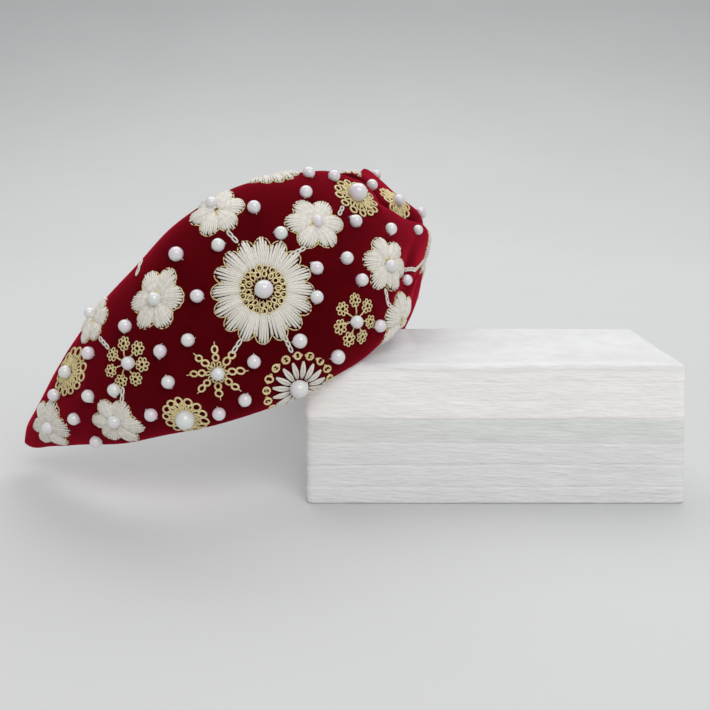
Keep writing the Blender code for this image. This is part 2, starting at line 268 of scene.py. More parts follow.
# Pearls sewn on the velvet: frame column, row, diameter
VELVET_PEARLS = (
    (176, 254, WIDER), (218, 245, SMALL), (197, 296, SMALL), (125, 326, SMALL), (88, 353, SMALL),
    (160, 351, SMALL), (188, 340, SMALL), (168, 382, SMALL), (88, 396, SMALL), (74, 419, SMALL),
    (151, 415, SMALL), (219, 414, SMALL), (254, 207, SMALL), (306, 192, SMALL), (281, 233, SMALL),
    (317, 268, SMALL), (317, 297, SMALL), (347, 258, SMALL), (362, 280, SMALL), (356, 221, SMALL),
    (391, 229, SMALL), (254, 362, SMALL), (245, 400, SMALL), (300, 341, WIDER), (338, 357, WIDER),
    (380, 326, SMALL), (407, 280, FINE),
)

# The block's mesh: the power of its rounded corners, the points round it and the rows up its wall
CORNER_POWER = 2 / 46
RING_POINTS = 400
WALL_ROWS = 150

# Foam sheets: heights of the joints between them, how deep each joint is, how far the sheet above stands
# out, and the white by height, whose last stop is painted shade that greys the top face
SHEET_JOINTS = (5.4, 12.2, 18.8, 26.4, 31.5, 37.5)
JOINT_DEPTH = (0.16, 0.20, 0.16, 0.26, 0.10, 0.10)
SHEET_STEP = (-0.07, 0.10, -0.10, 0.16, -0.05, 0.06)
SHEET_TONES_AND_TOP_SHADE = (
    (0.0, (0.830, 0.830, 0.820)), (18.4, (0.820, 0.820, 0.810)), (19.2, (0.785, 0.792, 0.760)),
    (26.0, (0.785, 0.792, 0.760)), (26.8, (0.975, 0.942, 0.910)), (40.0, (0.975, 0.948, 0.920)),
    (43.0, (0.760, 0.760, 0.765)),
)

# Backdrop in metres: where its floor starts and turns up, the radius of the turn, its top, half its width
FLOOR_FRONT = -2.2
TURN_UP = 0.5
COVE = 1.6
WALL_TOP = 3.2
HALF_FLOOR = 3.0

# Rectangular lights: name, place, target, width, height, power
LIGHTS = (
    ("overhead", (-0.05, 0.50, 0.95), (-0.03, 0.2, 0.03), 1.3, 1.0, 7.1),
    ("front_fill", (0.40, -1.05, 1.1), (-0.03, 0.0, 0.04), 1.0, 0.7, 9.2),
)
SKY = (0.92, 0.94, 0.96, 1)
SKY_STRENGTH = 0.50

# Small pearls past the edge of what the solids hold: frame column, row, diameter
EDGE_PEARLS = (
    (54, 395, SMALL), (114, 390, SMALL), (95, 441, SMALL), (418, 230, FINE), (372, 185, SMALL),
    (375, 177, FINE), (334, 176, SMALL), (311, 174, SMALL), (425, 209, FINE), (421, 214, FINE),
)

# Pearls in the middle of an embroidered piece: that piece, diameter, frame column and row
CENTRE_PEARLS = (
    ("big_daisy", WIDE, 264, 289), ("flower_2", SMALL, 114, 422), ("flower_3", SMALL, 154, 299),
    ("flower_6", FINE, 318, 221), ("flower_7", SMALL, 391, 266), ("rosette_1", SMALL, 65, 372),
    ("rosette_2", BIG, 185, 420), ("rosette_3", BIG, 358, 192), ("cluster_1", SMALL, 128, 363),
    ("cluster_2", SMALL, 357, 322), ("snowflake", SMALL, 218, 374), ("half_daisy", WIDE, 299, 389),
)
EXTRA_CENTRES = (
    ("flower_1", SMALL, 48, 428), ("flower_4", FINE, 91, 316), ("flower_5", FINE, 212, 203),
    ("knot_rosette", SMALL, 399, 200),
)

# Middle pearls that the picture doesn't show
HIDDEN_CENTRES = (("top_daisy", BIG), ("brow_flower", SMALL))

# Chain stitch between the pieces: frame columns and rows of the two ends
CHAINS = (
    (228, 233, 237, 243), (290, 256, 304, 249), (241, 340, 233, 352), (284, 336, 291, 351),
    (342, 208, 338, 216), (403, 270, 413, 270), (413, 270, 418, 261),
    (384, 290, 386, 303), (386, 303, 391, 309), (101, 338, 110, 348), (124, 388, 123, 401),
    (143, 262, 138, 276),
)

# Folds of the knot that the picture shows: depth, width, then frame columns and rows along the fold
FOLDS = (
    (1.6, 1.5, ((340, 171), (356, 177), (372, 184), (381, 187))),
    (1.8, 1.6, ((381, 187), (383, 197), (384, 207), (397, 214))),
    (1.3, 1.5, ((423, 262), (416, 276), (409, 288), (400, 297))),
)


def between(rows, column, x):
    """Read a column of a table at x: the Hermite cubic through its rows, with the rows' own slopes."""
    stops = rows[:, 0]
    values = rows[:, column]
    slopes = np.gradient(values, stops)
    x = np.clip(x, stops[0], stops[-1])
    i = np.clip(np.searchsorted(stops, x) - 1, 0, len(stops) - 2)
    width = stops[i + 1] - stops[i]
    t = (x - stops[i]) / width
    start = (2 * t**3 - 3 * t**2 + 1) * values[i] + (t**3 - 2 * t**2 + t) * width * slopes[i]
    end = (3 * t**2 - 2 * t**3) * values[i + 1] + (t**3 - t**2) * width * slopes[i + 1]
    return start + end


def ramp(x, low, high):
    """0 below low, 1 above high, and the smooth step 3t^2 - 2t^3 between."""
    t = np.clip((x - low) / (high - low), 0, 1)
    return t * t * (3 - 2 * t)


def unit(vectors):
    """The vectors over their own length."""
    return vectors / np.maximum(np.linalg.norm(vectors, axis=-1, keepdims=True), 1e-9)


def half_section(angle):
    """Middle and half of the band's height at an angle: half the sum and half the difference of its two
    edges. The half shrinks to a point at the tip as a quarter circle does."""
    away = np.abs(angle)
    upper = between(EDGE_ROWS, 1, away)
    lower = between(EDGE_ROWS, 2, away)
    gathered = (angle < 0) & (away < GATHER_ROWS[-1, 0])
    lower = np.where(gathered, between(GATHER_ROWS, 1, away), lower)
    into_tip = np.clip((away - TIP_ANGLE + TIP_ROUNDING) / TIP_ROUNDING, 0, 1)
    return (upper + lower) / 2, (upper - lower) / 2 * np.sqrt(1 - into_tip**2)


def knot_relief(angle, across):
    """What the pad keeps of its height beside the crease, one less a bell curve of the degrees from it,
    and the depth of the pleat, a bell curve round a slanting line."""
    beside = (angle - between(CREASE_ROWS, 1, across)) / CREASE_WIDTH
    from_pleat = (angle - PLEAT_ANGLE - PLEAT_SLOPE * (across - PLEAT_ACROSS)) / PLEAT_WIDTH
    on_lower_side = ramp(across, -1.0, -0.75) * ramp(-across, 0.1, 0.4)
    return 1 - CREASE_DEPTH * np.exp(-beside**2), PLEAT_DEPTH * np.exp(-from_pleat**2) * on_lower_side


def section(angle, around):
    """Millimetres up the band and off the U, of a place round the padded section. around is in degrees: 0
    is the middle of the outer face, 90 the upper edge and 180 the middle of the inner face, and across is
    its sine. The outer face is the flattened oval (1 - across^a)^b on a bowed back, with a bell curve added
    at each place of fuller or flatter wadding, and the upper edge is lowered by one at the brow. The inner
    face is the back, and rises by the same oval to meet the outer one a little above the back, which rounds
    the edge."""
    turn = np.radians(around)
    across = np.sin(turn)
    middle, half = half_section(angle)
    share = np.clip(half / WIDEST_HALF, 0, 1)
    under = (1 - ramp(angle, *CURL_GROWS)) * ramp(angle, *CURL_FADES)
    back = BOW * share**2 * (1 - across**2) - CURL * under * np.clip(-across, 0, 1) ** 2
    oval = np.clip(1 - np.abs(across) ** PAD_SQUARENESS, 0, 1) ** PAD_SHOULDER
    kept, pleat = knot_relief(angle, across)
    pad = (TIP_PAD + (FULL_PAD - TIP_PAD) * share) * kept
    outside = back + EDGE_ROUND + (pad - EDGE_ROUND) * oval - pleat * oval
    for at, turned_to, wide, tall, rise in KNOT_WADDING:
        bell = np.exp(-((angle - at) / wide) ** 2 - ((around - turned_to) / tall) ** 2)
        outside = outside + rise * oval * bell
    inside = back + EDGE_ROUND * (1 - oval)
    at, wide, depth = BROW_DIP
    dip = depth * np.exp(-((angle - at) / wide) ** 2) * np.clip(across, 0, 1) ** 2
    return middle + across * half - dip, np.where(np.cos(turn) > 0, outside, inside)


def band_place(angle, around, lift=0.0):
    """Points in space. The section's place moves out by lift along the section's own normal, and is then
    carried round the U, an ellipse whose depth towards the crown and towards the tips differs."""
    up, off = section(angle, around)
    up_before, off_before = section(angle, around - SECTION_STEP)
    up_after, off_after = section(angle, around + SECTION_STEP)
    length = np.maximum(np.hypot(up_after - up_before, off_after - off_before), 1e-9)
    up = up - lift * (off_after - off_before) / length
    off = off + lift * (up_after - up_before) / length
    turn = np.radians(angle)
    reach = np.where(np.cos(turn) > 0, REACH_TO_CROWN, REACH_TO_TIPS)
    side = np.sin(turn) / HALF_WIDTH
    front = np.cos(turn) / reach
    slant = np.hypot(side, front)
    along_crown = reach * np.cos(turn) + off * front / slant
    along_near = HALF_WIDTH * np.sin(turn) + off * side / slant
    return (HUB + along_crown[..., None] * TOWARDS_CROWN + along_near[..., None] * TOWARDS_NEAR
            + up[..., None] * TOWARDS_UPPER)


def normal_at(angle, around):
    """Outward unit normal: the way up the section crossed with the way round the U."""
    along = band_place(angle + SLOPE_STEP, around) - band_place(angle - SLOPE_STEP, around)
    up = band_place(angle, around + SLOPE_STEP) - band_place(angle, around - SLOPE_STEP)
    return unit(np.cross(up, along))


def to_frame(points):
    """Frame column and row of points in space: a pinhole at the eye, pitched down."""
    away = points - EYE
    depth = away[..., 1] * np.cos(EYE_PITCH) - away[..., 2] * np.sin(EYE_PITCH)
    up = away[..., 1] * np.sin(EYE_PITCH) + away[..., 2] * np.cos(EYE_PITCH)
    return np.stack([FRAME_WIDTH / 2 + FOCAL_PIXELS * away[..., 0] / depth,
                     FRAME_WIDTH / 2 - FOCAL_PIXELS * up / depth], -1)


SEEN_ANGLE, SEEN_AROUND = np.meshgrid(SEARCH_ANGLES, SEARCH_AROUND, indexing="ij")
SEEN_PLACE = band_place(SEEN_ANGLE, SEEN_AROUND)
SEEN_FRAME = to_frame(SEEN_PLACE)
SEEN_FACING = np.sum(normal_at(SEEN_ANGLE, SEEN_AROUND) * (EYE - SEEN_PLACE), axis=-1) > 0


def seen_at(column, row, lift=0.0):
    """The spot (angle, around) whose point, a lift above the padding, shows at a frame column and row: the
    nearest of a grid of points that face the eye, then Newton steps on the frame's own slopes."""
    miss = np.linalg.norm(SEEN_FRAME - (column, row), axis=-1)
    best = np.unravel_index(np.where(SEEN_FACING, miss, np.inf).argmin(), miss.shape)
    spot = np.array([SEEN_ANGLE[best], SEEN_AROUND[best]])
    for _ in range(4):
        here = to_frame(band_place(*spot, lift))
        near = [to_frame(band_place(*(spot + step), lift)) - here for step in SLOPE_STEP * np.eye(2)]
        slopes = np.stack(near, axis=1) / SLOPE_STEP
        if abs(np.linalg.det(slopes)) > 0.5:
            spot = spot + np.clip(np.linalg.solve(slopes, np.array([column, row]) - here), -2.0, 2.0)
    return spot


def running(points):
    """The length run along each row of points, from 0 at its first."""
    steps = np.linalg.norm(np.diff(points, axis=-2), axis=-1)
    return np.concatenate([np.zeros_like(steps[..., :1]), np.cumsum(steps, axis=-1)], -1)


def rulers(spot):
    """Two rulers at a spot: degrees round the section, with the running length there from the spot, and
    the U's length for one degree of angle."""
    turns = np.linspace(spot[1] - 160, spot[1] + 160, 801)
    run = running(band_place(spot[0], turns))
    stretch = band_place(spot[0] + SLOPE_STEP, turns) - band_place(spot[0] - SLOPE_STEP, turns)
    per_degree = np.linalg.norm(stretch, axis=1) / (2 * SLOPE_STEP)
    return turns, run - np.interp(spot[1], turns, run), per_degree


def away_from(spot, x, y):
    """The angle and around of places x millimetres round the U and y millimetres up the section from a
    spot. y is read back from the section's running length, and x becomes degrees by the U's length per
    degree at that height."""
    turns, run, per_degree = rulers(spot)
    around = np.interp(y, run, turns)
    return spot[0] + x / np.interp(around, turns, per_degree), around


def lay(spot, flat):
    """Carry flat points onto the band round a spot: x round the U, y up the section, z off the padding."""
    return band_place(*away_from(spot, flat[..., 0], flat[..., 1]), flat[..., 2])


def facing(spot):
    """The cosine between the velvet's normal and the way to the picture's eye."""
    return np.dot(normal_at(*spot), unit(EYE - band_place(*spot)))


def flat_from(spot, angle, around):
    """The reverse of lay: flat x and y, from a spot, of places on the band."""
    turns, run, per_degree = rulers(spot)
    around = (around - spot[1] + 180) % 360 - 180 + spot[1]
    return (angle - spot[0]) * np.interp(around, turns, per_degree), np.interp(around, turns, run)


def ring_faces(steps, sides, closed):
    """Quads between neighbouring rings of points, and fans to two end points where the row isn't closed."""
    r = np.arange(steps if closed else steps - 1)[:, None]
    c = np.arange(sides)[None, :]
    s = (r + 1) % steps
    d = (c + 1) % sides
    quads = np.stack(np.broadcast_arrays(r * sides + c, r * sides + d, s * sides + d, s * sides + c), -1)
    if closed:
        return quads.reshape(-1, 4), np.zeros((0, 3), int)
    c = c[0]
    d = d[0]
    last = (steps - 1) * sides
    first_fan = np.stack([d, c, np.full(sides, steps * sides)], -1)
    last_fan = np.stack([last + c, last + d, np.full(sides, steps * sides + 1)], -1)
    return quads.reshape(-1, 4), np.vstack([first_fan, last_fan])


def turns_of(count, start=0.0):
    """Even turns round a circle, in radians."""
    return start + np.arange(count) * 2 * np.pi / count


def copies(points, quads, tris, shade):
    """Meshes of one make as one shape. points is meshes by points by 3, quads and tris count from a mesh's
    first point, and each mesh has its own shade."""
    offsets = np.arange(len(points))[:, None, None] * points.shape[1]
    return {
        "points": points.reshape(-1, 3),
        "quads": (quads + offsets).reshape(-1, 4),
        "tris": (tris + offsets).reshape(-1, 3),
        "shade": np.repeat(shade, points.shape[1]),
    }


def strands(paths, radius, shade, sides=THREAD_SIDES, closed=False):
    """Threads: a ring of points round each path at right angles to it, each end closed by a rounded point.
    Each thread carries one number, its shade, and a map of its length in millimetres and the share round
    it. paths is threads by steps by 3."""
    count, steps = paths.shape[:2]
    if closed:
        way = unit(np.roll(paths, -1, 1) - np.roll(paths, 1, 1))
    else:
        way = unit(np.gradient(paths, axis=1))
    side = unit(np.cross(way, (0.0, 0.0, 1.0)))
    over = np.cross(side, way)
    turn = turns_of(sides)[:, None]
    thick = np.broadcast_to(radius, (count, steps))[..., None]
    hoops = paths[:, :, None] + thick[..., None] * (
        np.cos(turn) * side[:, :, None] + np.sin(turn) * over[:, :, None])
    points = hoops.reshape(count, steps * sides, 3)
    if closed:
        run = running(np.concatenate([paths, paths[:, :1]], 1))
    else:
        run = running(paths)
        nub = way * thick * THREAD_NUB
        points = np.concatenate([points, paths[:, :1] - nub[:, :1], paths[:, -1:] + nub[:, -1:]], 1)
    quads, tris = ring_faces(steps, sides, closed)
    rows = len(quads) // sides
    low, high, left = np.broadcast_arrays(
        run[:, :rows, None], run[:, 1:rows + 1, None], np.arange(sides) / sides)
    right = left + 1 / sides
    corners = ((low, left), (low, right), (high, right), (high, left))
    shape = copies(points, quads, tris, shade)
    shape["quad_map"] = np.stack([np.stack(corner, -1) for corner in corners], -2).reshape(-1, 4, 2)
    shape["tri_map"] = np.zeros((count * len(tris), 3, 2))
    return shape


def gathered(parts):
    """Several sets of threads as one, with their point numbers moved on."""
    starts = np.cumsum([0] + [len(part["points"]) for part in parts[:-1]])
    whole = {key: np.concatenate([part[key] for part in parts]) for key in parts[0]}
    for key in ("quads", "tris"):
        whole[key] = np.concatenate([part[key] + start for part, start in zip(parts, starts)])
    return whole


def outward(points, quads, tris):
    """True if the faces turn outwards: the sum of the corner triple products, six times the volume, is
    above zero."""
    corners = np.vstack([quads[:, [0, 1, 2]], quads[:, [0, 2, 3]], tris])
    a, b, c = (points[corners[:, i]] - points.mean(0) for i in range(3))
    return np.sum(a * np.cross(b, c)) > 0


def in_scene(name, data):
    """An object made of some data, in the scene."""
    made = bpy.data.objects.new(name, data)
    bpy.context.scene.collection.objects.link(made)
    return made


def make_piece(name, shape, finish, nodes=()):
    """A smooth shaded object at the origin from a shape in millimetres, riding on the frame's root."""
    if not outward(shape["points"], shape["quads"], shape["tris"]):
        by_corner = [key for key in ("quads", "tris", "quad_map", "tri_map") if key in shape]
        shape = shape | {key: shape[key][:, ::-1] for key in by_corner}
    points, quads, tris = shape["points"], shape["quads"], shape["tris"]
    mesh = bpy.data.meshes.new(name)
    mesh.vertices.add(len(points))
    mesh.vertices.foreach_set("co", (points * MM).astype(np.float32).ravel())
    mesh.loops.add(quads.size + tris.size)
    mesh.loops.foreach_set("vertex_index", np.concatenate([quads.ravel(), tris.ravel()]).astype(np.int32))
    mesh.polygons.add(len(quads) + len(tris))
    starts = np.concatenate([np.arange(len(quads)) * 4, quads.size + np.arange(len(tris)) * 3])
    mesh.polygons.foreach_set("loop_start", starts.astype(np.int32))
    mesh.update(calc_edges=True)
    mesh.validate()
    mesh.shade_smooth()
    if "quad_map" in shape:
        layer = mesh.uv_layers.new(name="thread_way")
        corners = np.concatenate([shape["quad_map"].ravel(), shape["tri_map"].ravel()])
        layer.data.foreach_set("uv", corners.astype(np.float32))
    if "shade" in shape:
        tone = mesh.attributes.new("shade", "FLOAT", "POINT")
        tone.data.foreach_set("value", shape["shade"].astype(np.float32))
    mesh.materials.append(finish)
    made = in_scene(name, mesh)
    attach(made, "root")
    if nodes:
        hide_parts(*nodes)
    return made


def turned(flat, turn):
    """Flat points turned by an angle round their own centre."""
    c, s = np.cos(turn), np.sin(turn)
    x, y = flat[..., 0], flat[..., 1]
    return np.stack([x * c - y * s, x * s + y * c, flat[..., 2]], -1)


def hump(t, low, high):
    """The height of a satin stitch along its length: a sine from its foot to its tip, rounded up."""
    return STITCH_FOOT + STITCH_RISE * np.sin(np.pi * (low + (high - low) * t)) ** 0.7


def satin(paths, thread, ends, swell, power, uneven, rng):
    """Threads whose thickness swells along them by a sine to a power, each one a little uneven."""
    s = np.linspace(0, 1, paths.shape[1])
    thick = thread * (ends + swell * np.sin(np.pi * s) ** power)
    thick = thick * (1 + rng.normal(0, uneven, (len(paths), 1)))
    return strands(paths, thick, rng.random(len(paths)))


def fan_petals(radius, petals, start, rng):
    """Threads of broad satin petals. Each thread is a straight line from the heart of the flower to its own
    place on an oval petal end, so the threads fan out. It rises and falls as a sine, and lower towards the
    petal's two sides, which leaves a valley between the petals."""
    share = np.linspace(-1, 1, FAN_THREADS)[:, None]
    s = np.linspace(0, 1, 9)
    swing = np.radians(FAN_DEGREES) * share
    sets = []
    for turn in turns_of(petals, start):
        reach = radius * (0.63 + 0.37 * np.cos(swing)) * (1 + rng.normal(0, 0.02, share.shape))
        width = radius * 0.33 * np.sin(swing) * (1 + rng.normal(0, 0.03))
        x = radius * 0.10 + (reach - radius * 0.10) * s
        y = radius * 0.05 * share * (1 - s) + width * s ** 0.8
        z = hump(s, 0.12, 0.90) * (1 - 0.52 * share ** 2) + rng.normal(0, 0.05, share.shape)
        sets.append(turned(np.stack([x, y, z], -1), turn + rng.normal(0, 0.02)))
    return satin(np.concatenate(sets), IVORY_THREAD, 0.66, 0.30, 0.5, 0.06, rng)


def petal_cords(radius, petals, start, rng, heart, reach, half):
    """The looped cord round the end of each petal: an oval about the petal's heart, pushed in and out by
    small scallops. heart, reach and half are shares of the radius."""
    swing = np.linspace(-108, 108, 61) * np.pi / 180
    scallop = 1 + 0.04 * np.abs(np.sin(swing * 5.6))
    x = radius * (heart + reach * np.cos(swing) * scallop)
    y = radius * half * np.sin(swing) * scallop
    z = 0.40 + 0.14 * np.cos(swing * 11.2)
    paths = np.stack([turned(np.stack([x, y, z], -1), turn) for turn in turns_of(petals, start)])
    return strands(paths, CORD, rng.random(petals), 5)


def thick_petals(radius, inner, petals, start, rng):
    """Narrow petals of thick straight strands side by side. They spread from the edge of the heart, the
    middle ones reach furthest, and their ends go down into the velvet."""
    share = np.linspace(-1, 1, DAISY_STRANDS)[:, None]
    s = np.linspace(0, 1, 10)
    half = np.pi * radius * 0.67 / petals
    sets = []
    for turn in turns_of(petals, start):
        reach = radius * (1 - 0.14 * share ** 2) * (1 + rng.normal(0, 0.018, share.shape))
        x = inner + (reach - inner) * s
        y = half * share * (0.62 + 0.38 * ramp(s, 0.0, 0.9)) + rng.normal(0, 0.10, share.shape) * s
        z = hump(s, 0.10, 0.94) * (1 - 0.34 * share ** 2) + rng.normal(0, 0.05, share.shape)
        sets.append(turned(np.stack([x, y, z], -1), turn + rng.normal(0, 0.015)))
    return satin(np.concatenate(sets), DAISY_THREAD, 0.62, 0.40, 0.6, 0.07, rng)


def rings(radius, count, long, wide, thick, start, rng, height, wobble=0.12):
    """Small closed rings of gold thread in a circle: each is an oval, long outwards and wide along the
    circle, tipped a little out of the flat at random."""
    turn = turns_of(count, start) + rng.normal(0, wobble / max(radius, 1.0), count)
    t = turns_of(12)
    x = long * np.cos(t) * (1 + rng.normal(0, 0.06, (count, 1)))
    y = wide * np.sin(t) * (1 + rng.normal(0, 0.06, (count, 1)))
    z = height + 0.10 * np.sin(t + rng.random((count, 1)) * 6.0)
    one = turned(np.stack([x, y, z], -1), rng.normal(0, 0.25, (count, 1)))
    one[..., 0] += radius
    return strands(turned(one, turn[:, None]), thick, rng.random(count), 6, closed=True)


def spokes(near, far, count, thick, start, rng, low, high):
    """Straight threads outwards from a circle, with their ends down in the velvet."""
    turn = turns_of(count, start) + rng.normal(0, 0.03, count)
    s = np.linspace(0, 1, 7)
    x = near + (far - near) * s * (1 + rng.normal(0, 0.03, (count, 1)))
    z = low + (high - low) * s + 0.25 * np.sin(np.pi * s)
    one = np.stack(np.broadcast_arrays(x, 0.0, z), -1)
    return strands(turned(one, turn[:, None]), thick, rng.random(count), 5)


def gold_work(piece, radius, start, rng):
    """The gold rings of a piece and then its spokes, as their tables give them."""
    parts = [rings(radius * at, count, long, wide, thick, start + on, rng, height, wobble)
             for at, count, long, wide, thick, on, height, wobble in GOLD_RINGS[piece]]
    parts += [spokes(radius * near, radius * far, count, thick, start + on, rng, low, high)
              for near, far, count, thick, on, low, high in GOLD_SPOKES.get(piece, ())]
    return gathered(parts)


def tuft(x, y, rng):
    """The small gold knot beside a flower's pearl: three rings and five short spokes, moved to x and y."""
    knot = gathered([rings(0.50, 3, 0.60, 0.40, 0.20, 0.0, rng, 1.05),
                     spokes(0.2, 1.4, 5, 0.18, 0.0, rng, 1.1, 0.9)])
    knot["points"] = knot["points"] + np.array([x, y, 0.0])
    return knot


def flower(radius, start, rng):
    """Six broad satin petals with looped cords round them."""
    radius = radius * 0.98
    return (fan_petals(radius, FLOWER_PETALS, start, rng),
            petal_cords(radius, FLOWER_PETALS, start, rng, 0.62, 0.40, 0.36))


def daisy(radius, start, rng):
    """Sixteen narrow petals of thick thread, corded at their ends, round a heart of small gold rings and
    short spokes."""
    inner = radius * 0.44
    cords = petal_cords(radius, DAISY_PETALS, start, rng, 0.83, 0.18, 0.155)
    heart = gathered([cords, gold_work("daisy", inner, start, rng)])
    return thick_petals(radius, inner, DAISY_PETALS, start, rng), heart


def spindles(radius, start, rng):
    """Sixteen long spindle petals, each two threads that swell in the middle, in a circle of gold rings."""
    s = np.linspace(0, 1, 11)
    x = radius * 0.30 + (radius * 0.78 - radius * 0.30) * s
    y = 0.12 + 0.28 * np.sin(np.pi * s)
    z = 0.35 + 0.55 * np.sin(np.pi * (0.1 + 0.8 * s))
    paths = np.stack([turned(np.stack([x, side * y, z], -1), turn)
                      for turn in turns_of(SPINDLE_PETALS, start) for side in (-1, 1)])
    gold = gold_work("spindles", radius, start, rng)
    thick = SPINDLE_THREAD * (0.55 + 0.6 * np.sin(np.pi * s))
    return strands(paths, thick, rng.random(len(paths))), gold


def rosette(radius, start, rng):
    """A circle of thirteen open gold rings, radial loops inside it, and small rings round the pearl."""
    return None, gold_work("rosette", radius - 1.25, start, rng)


def cluster(radius, start, rng):
    """Seven tiny flowers in a circle, each seven small rings round an open ring, tied to the pearl."""
    tiny = gathered([rings(0.0, 1, 0.70, 0.70, 0.22, 0.0, rng, 0.72),
                     rings(1.32, 7, 0.56, 0.48, 0.19, 0.0, rng, 0.50, 0.05)])
    parts = []
    for number, turn in enumerate(turns_of(TINY_FLOWERS, start)):
        place = np.array([radius - 2.0 + rng.normal(0, 0.12), 0.0, 0.0])
        points = turned(tiny["points"], number * 1.7) * (1 + rng.normal(0, 0.03)) + place
        parts.append(tiny | {"points": turned(points, turn)})
    parts.append(spokes(1.6, radius - 3.2, TINY_FLOWERS, 0.22, start, rng, 0.7, 0.4))
    return None, gathered(parts)


def snowflake(radius, start, rng):
    """Eight arms of two gold rings and a pointed tail, from a circle of short loops round the pearl."""
    return None, gold_work("snowflake", radius, start, rng)


MAKERS = {"flower": flower, "daisy": daisy, "spindles": spindles, "rosette": rosette, "cluster": cluster,
          "snowflake": snowflake}


def chain(ends, rng):
    """Chain stitch: oval loops end to end along a straight line between two spots, each started inside
    the one before."""
    spot = (ends[0] + ends[1]) / 2
    x, y = flat_from(spot, *np.stack(ends, 1))
    length = np.hypot(x[1] - x[0], y[1] - y[0])
    links = max(2, int(round(length / CHAIN_LINK)))
    long = length / links * 0.62
    t = turns_of(12)
    one = np.stack([long * np.cos(t), 0.42 * np.sin(t), 0.66 + 0.14 * np.cos(t)], -1)
    one = np.broadcast_to(turned(one, np.arctan2(y[1] - y[0], x[1] - x[0])), (links, 12, 3)).copy()
    share = (np.arange(links) + 0.5)[:, None] / links
    one[..., 0] += x[0] + (x[1] - x[0]) * share
    one[..., 1] += y[0] + (y[1] - y[0]) * share
    shape = strands(one, CHAIN_THREAD, rng.random(links), 5, closed=True)
    shape["points"] = lay(spot, shape["points"])
    return shape


def beads(spots, sizes, seat, rng):
    """Pearls of turned profile: with u from pole to pole of the drill hole, radius R sin u and length
    -R cos u, drawn out to a small nub at one end. Each stands a seat height off the velvet, its hole lying
    along the velvet, and a thread runs down from both ends."""
    angle, around = np.array(spots).T
    radius = np.array(sizes)[:, None] / 2
    normal = normal_at(angle, around)
    centre = band_place(angle, around, radius[:, 0] + seat)
    level = unit(np.cross(normal, rng.normal(0, 1, (len(spots), 3))))
    third = np.cross(normal, level)
    u = np.linspace(0, np.pi, PEARL_RINGS + 2)[1:-1]
    v = turns_of(PEARL_SIDES)[:, None]
    nub = 0.06 + 0.20 * rng.random((len(spots), 1)) ** 2
    length = -np.cos(u) + nub * np.exp(-((np.pi - u) / 0.34) ** 2) + 0.04 * np.exp(-(u / 0.3) ** 2)
    body = np.sin(u) * (1 + 0.02 * np.cos(2 * u + rng.random((len(spots), 1)) * 6))
    ring = (length[..., None, None] * level[:, None, None] + body[..., None, None] * (
        np.cos(v) * normal[:, None, None] + np.sin(v) * third[:, None, None]))
    first = -1.03 * level[:, None]
    last = (1.01 + nub)[..., None] * level[:, None]
    local = np.concatenate([ring.reshape(len(spots), -1, 3), first, last], 1)
    points = centre[:, None] + radius[..., None] * local
    pearls = copies(points, *ring_faces(PEARL_RINGS, PEARL_SIDES, False), rng.random(len(spots)))
    s = np.linspace(0, 1, 6)[:, None]
    ends = []
    for side, out in ((level, 1.0 + nub), (-level, np.ones_like(nub))):
        start = centre + side * radius * out * 0.96
        foot = centre + side * radius * (out * 0.9) - normal * (radius + seat + 0.2)
        bow = side * radius * 0.12
        ends.append(start[:, None] * (1 - s) + foot[:, None] * s + bow[:, None] * np.sin(np.pi * s) ** 0.8)
    return pearls, strands(np.concatenate(ends), TIE_THREAD, rng.random(2 * len(spots)), 5)


def velvet_lift(angle, around, footprints, fold_lines):
    """How far the pile stands off the padding: the full pile, pressed down inside each footprint with a
    smooth step at its rim, less a bell curve of the distance from each fold, plus soft lumps, which are
    sines of the angle and the way round. The inner face has no extra pile."""
    outer_face = ramp(np.cos(np.radians(around)), -0.35, 0.15)
    lift = np.full(angle.shape, PILE)
    for spot, radius, depth in footprints:
        near = np.abs(angle - spot[0]) < 22
        x, y = flat_from(spot, angle[near], around[near])
        away = np.hypot(x, y)
        pressed = depth * (1 - ramp(away, radius - 0.55, radius + 0.55))
        raised = 0.12 * np.exp(-((away - radius - 0.9) / 0.7) ** 2)
        lift[near] = np.minimum(lift[near], PILE - pressed) + raised
    lumps = (np.sin(angle * 0.31 + 1.0) * np.sin(np.radians(around) * 3.1 + 0.6)
             + 0.6 * np.sin(angle * 0.17 + np.radians(around) * 5.0))
    lift = (lift + LUMP_HEIGHT * lumps) * outer_face
    places = band_place(angle, around)
    for depth, width, line in fold_lines:
        away = np.min(np.linalg.norm(places[..., None, :] - line, axis=-1), axis=-1)
        lift = lift - depth * np.exp(-(away / width) ** 2) * outer_face
    return lift


